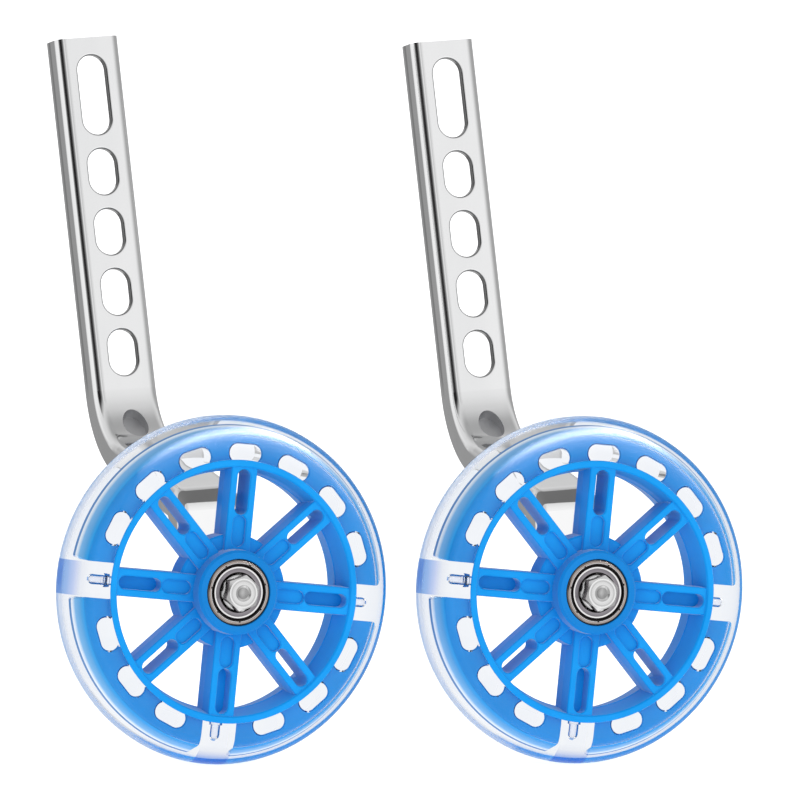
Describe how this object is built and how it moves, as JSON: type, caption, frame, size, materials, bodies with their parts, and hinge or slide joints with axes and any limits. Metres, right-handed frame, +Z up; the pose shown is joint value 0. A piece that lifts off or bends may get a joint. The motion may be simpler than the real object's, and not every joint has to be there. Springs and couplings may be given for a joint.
{
  "type": "bicycle training wheels",
  "caption": "Bicycle training wheels: slotted pressed-steel channel brackets, each carrying a blue spoked wheel with a clear tyre on a bolt axle with ball bearings.",
  "frame": {"origin": "on the ground, under the middle of the pair's box", "axes": "+Z up, +X from the left unit to the right one, +Y along the axles from the wheels' front to the bracket arms"},
  "size_m": [0.2524, 0.1345, 0.2458],
  "materials": {
    "bracket_steel": "bright plated sheet steel, polished",
    "bolt_steel": "bright zinc plate",
    "washer_steel": "zinc plated",
    "bearing_steel": "ground bearing steel",
    "ball_steel": "polished",
    "cage_steel": "pressed strip",
    "shield_steel": "pressed tinplate",
    "magnet_ferrite": "sintered ferrite, matte",
    "core_plastic": "moulded polypropylene, satin",
    "tyre_clear": "clear cast polyurethane",
    "led_epoxy": "clear epoxy lens",
    "coil_copper": "enamelled copper winding",
    "lead_copper": "enamelled copper wire"
  },
  "bodies": {
    "root": {"left_bracket": "bracket_steel", "left_axle_bolt": "bolt_steel", "left_axle_nut": "bolt_steel", "left_rear_washer": "washer_steel", "left_lock_washer": "washer_steel", "left_spacer_sleeve": "washer_steel", "left_magnet_ring": "magnet_ferrite", "left_front_bearing_inner_ring": "bearing_steel", "left_rear_bearing_inner_ring": "bearing_steel", "right_bracket": "bracket_steel", "right_axle_bolt": "bolt_steel", "right_axle_nut": "bolt_steel", "right_rear_washer": "washer_steel", "right_lock_washer": "washer_steel", "right_spacer_sleeve": "washer_steel", "right_magnet_ring": "magnet_ferrite", "right_front_bearing_inner_ring": "bearing_steel", "right_rear_bearing_inner_ring": "bearing_steel"},
    "left_wheel": {"left_wheel_core": "core_plastic", "left_tyre": "tyre_clear", "left_led_lamps": "led_epoxy", "left_led_coils": "coil_copper", "left_led_leads": "lead_copper", "left_front_bearing_outer_ring": "bearing_steel", "left_rear_bearing_outer_ring": "bearing_steel", "left_front_bearing_shields": "shield_steel", "left_rear_bearing_shields": "shield_steel"},
    "left_front_cage": {"left_front_bearing_cage": "cage_steel", "left_front_bearing_balls": "ball_steel"},
    "left_rear_cage": {"left_rear_bearing_cage": "cage_steel", "left_rear_bearing_balls": "ball_steel"},
    "right_wheel": {"right_wheel_core": "core_plastic", "right_tyre": "tyre_clear", "right_led_lamps": "led_epoxy", "right_led_coils": "coil_copper", "right_led_leads": "lead_copper", "right_front_bearing_outer_ring": "bearing_steel", "right_rear_bearing_outer_ring": "bearing_steel", "right_front_bearing_shields": "shield_steel", "right_rear_bearing_shields": "shield_steel"},
    "right_front_cage": {"right_front_bearing_cage": "cage_steel", "right_front_bearing_balls": "ball_steel"},
    "right_rear_cage": {"right_rear_bearing_cage": "cage_steel", "right_rear_bearing_balls": "ball_steel"}
  },
  "joints": [
    {"name": "left_wheel_spin", "type": "hinge", "parent": "root", "child": "left_wheel", "pos_m": [-0.0662, -0.0463, 0.06], "axis": [0, 1, 0], "continuous": true},
    {"name": "left_front_cage_orbit", "type": "hinge", "parent": "root", "child": "left_front_cage", "pos_m": [-0.0662, -0.0463, 0.06], "axis": [0, 1, 0], "continuous": true},
    {"name": "left_rear_cage_orbit", "type": "hinge", "parent": "root", "child": "left_rear_cage", "pos_m": [-0.0662, -0.0463, 0.06], "axis": [0, 1, 0], "continuous": true},
    {"name": "right_wheel_spin", "type": "hinge", "parent": "root", "child": "right_wheel", "pos_m": [0.0662, -0.0463, 0.06], "axis": [0, 1, 0], "continuous": true},
    {"name": "right_front_cage_orbit", "type": "hinge", "parent": "root", "child": "right_front_cage", "pos_m": [0.0662, -0.0463, 0.06], "axis": [0, 1, 0], "continuous": true},
    {"name": "right_rear_cage_orbit", "type": "hinge", "parent": "root", "child": "right_rear_cage", "pos_m": [0.0662, -0.0463, 0.06], "axis": [0, 1, 0], "continuous": true}
  ],
  "couplings": [
    {"joint": "left_front_cage_orbit", "follows": "left_wheel_spin", "ratio": 0.6323},
    {"joint": "left_rear_cage_orbit", "follows": "left_wheel_spin", "ratio": 0.6323},
    {"joint": "right_front_cage_orbit", "follows": "right_wheel_spin", "ratio": 0.6323},
    {"joint": "right_rear_cage_orbit", "follows": "right_wheel_spin", "ratio": 0.6323}
  ]
}
